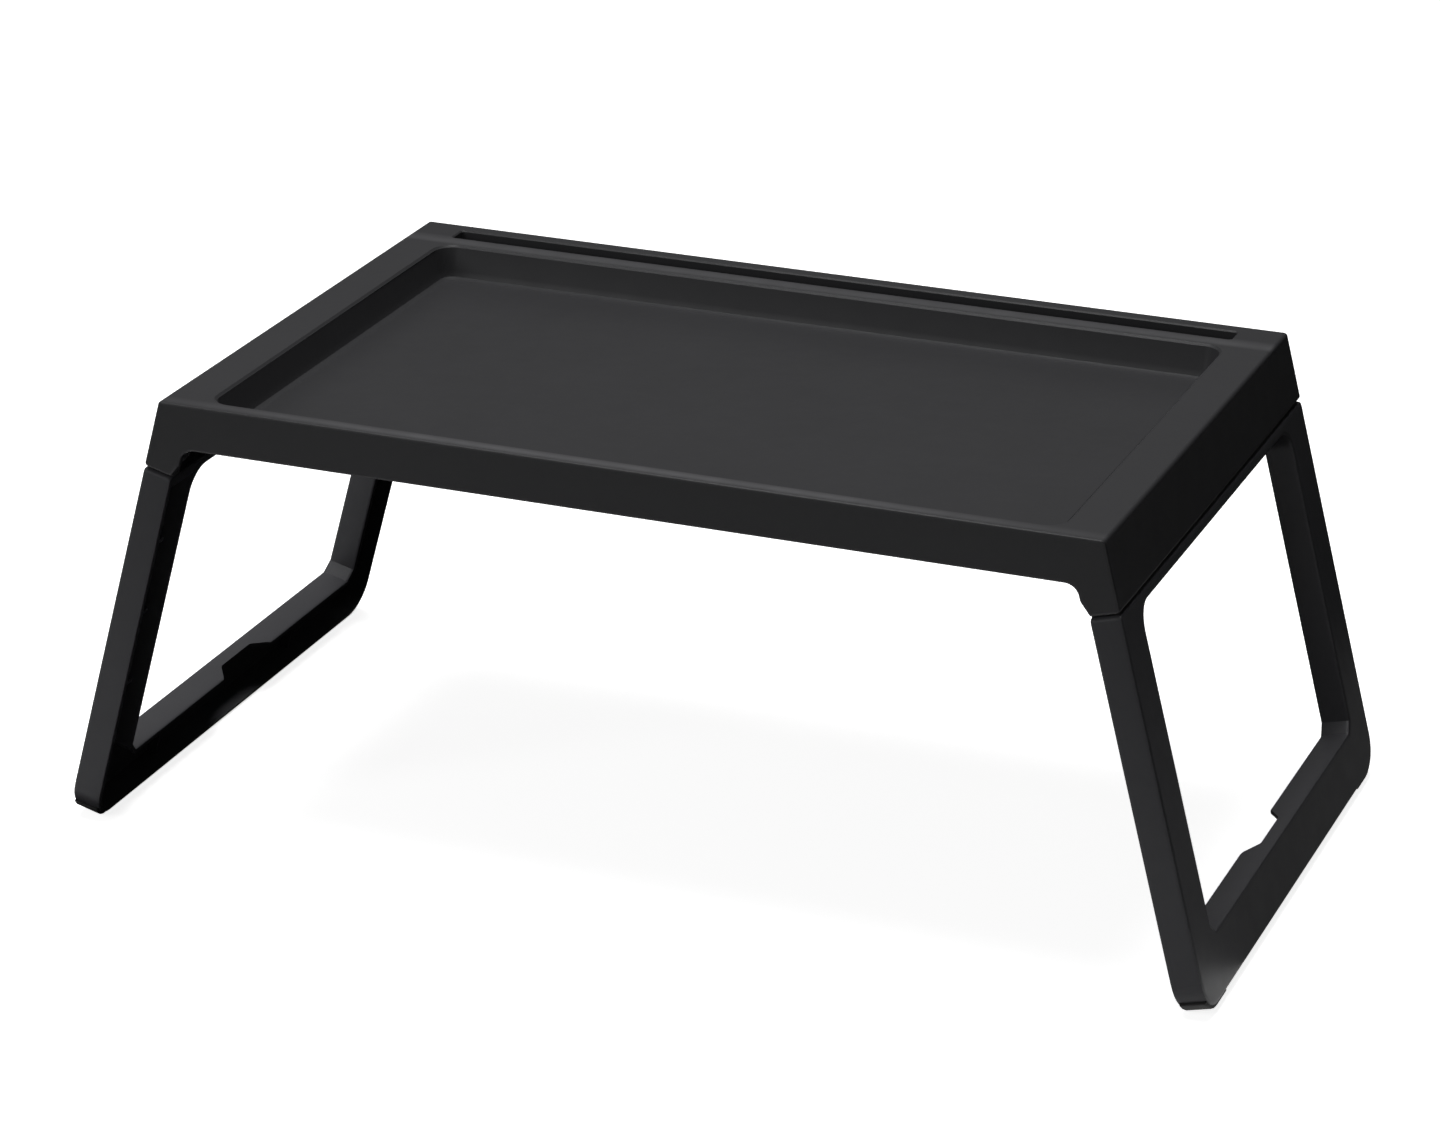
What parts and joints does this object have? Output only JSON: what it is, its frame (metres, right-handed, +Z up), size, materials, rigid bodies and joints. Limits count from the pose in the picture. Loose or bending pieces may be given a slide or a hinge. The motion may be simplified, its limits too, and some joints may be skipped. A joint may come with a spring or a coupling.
{
  "type": "folding_tray_table",
  "caption": "Black plastic bed tray table with a sunken top, a tablet slot at the back and leg frames that fold under",
  "frame": {"origin": "on the floor below the middle of the table, legs open", "axes": "+X along the length to the right-hand leg, -Y towards the user (front), +Z up"},
  "size_m": [0.6854, 0.362, 0.267],
  "materials": {
    "black_plastic": "fine moulded grain, soft sheen",
    "leg_plastic": "fine moulded grain, soft sheen",
    "pin_steel": "drawn wire, plain",
    "pad_rubber": "matte, smooth"
  },
  "bodies": {
    "tray": {"tray_top": "black_plastic", "hinge_pin_right_front": "pin_steel", "hinge_pin_right_back": "pin_steel", "hinge_pin_left_front": "pin_steel", "hinge_pin_left_back": "pin_steel"},
    "leg_right": {"leg_frame_right": "leg_plastic", "foot_pad_right_front": "pad_rubber", "foot_pad_right_back": "pad_rubber"},
    "leg_left": {"leg_frame_left": "leg_plastic", "foot_pad_left_front": "pad_rubber", "foot_pad_left_back": "pad_rubber"}
  },
  "joints": [
    {"name": "leg_right_fold", "type": "hinge", "parent": "tray", "child": "leg_right", "pos_m": [0.26852, 0, 0.234], "axis": [0, 1, 0], "range_deg": [0, 104.7]},
    {"name": "leg_left_fold", "type": "hinge", "parent": "tray", "child": "leg_left", "pos_m": [-0.26852, 0, 0.234], "axis": [0, -1, 0], "range_deg": [0, 104.7]}
  ]
}
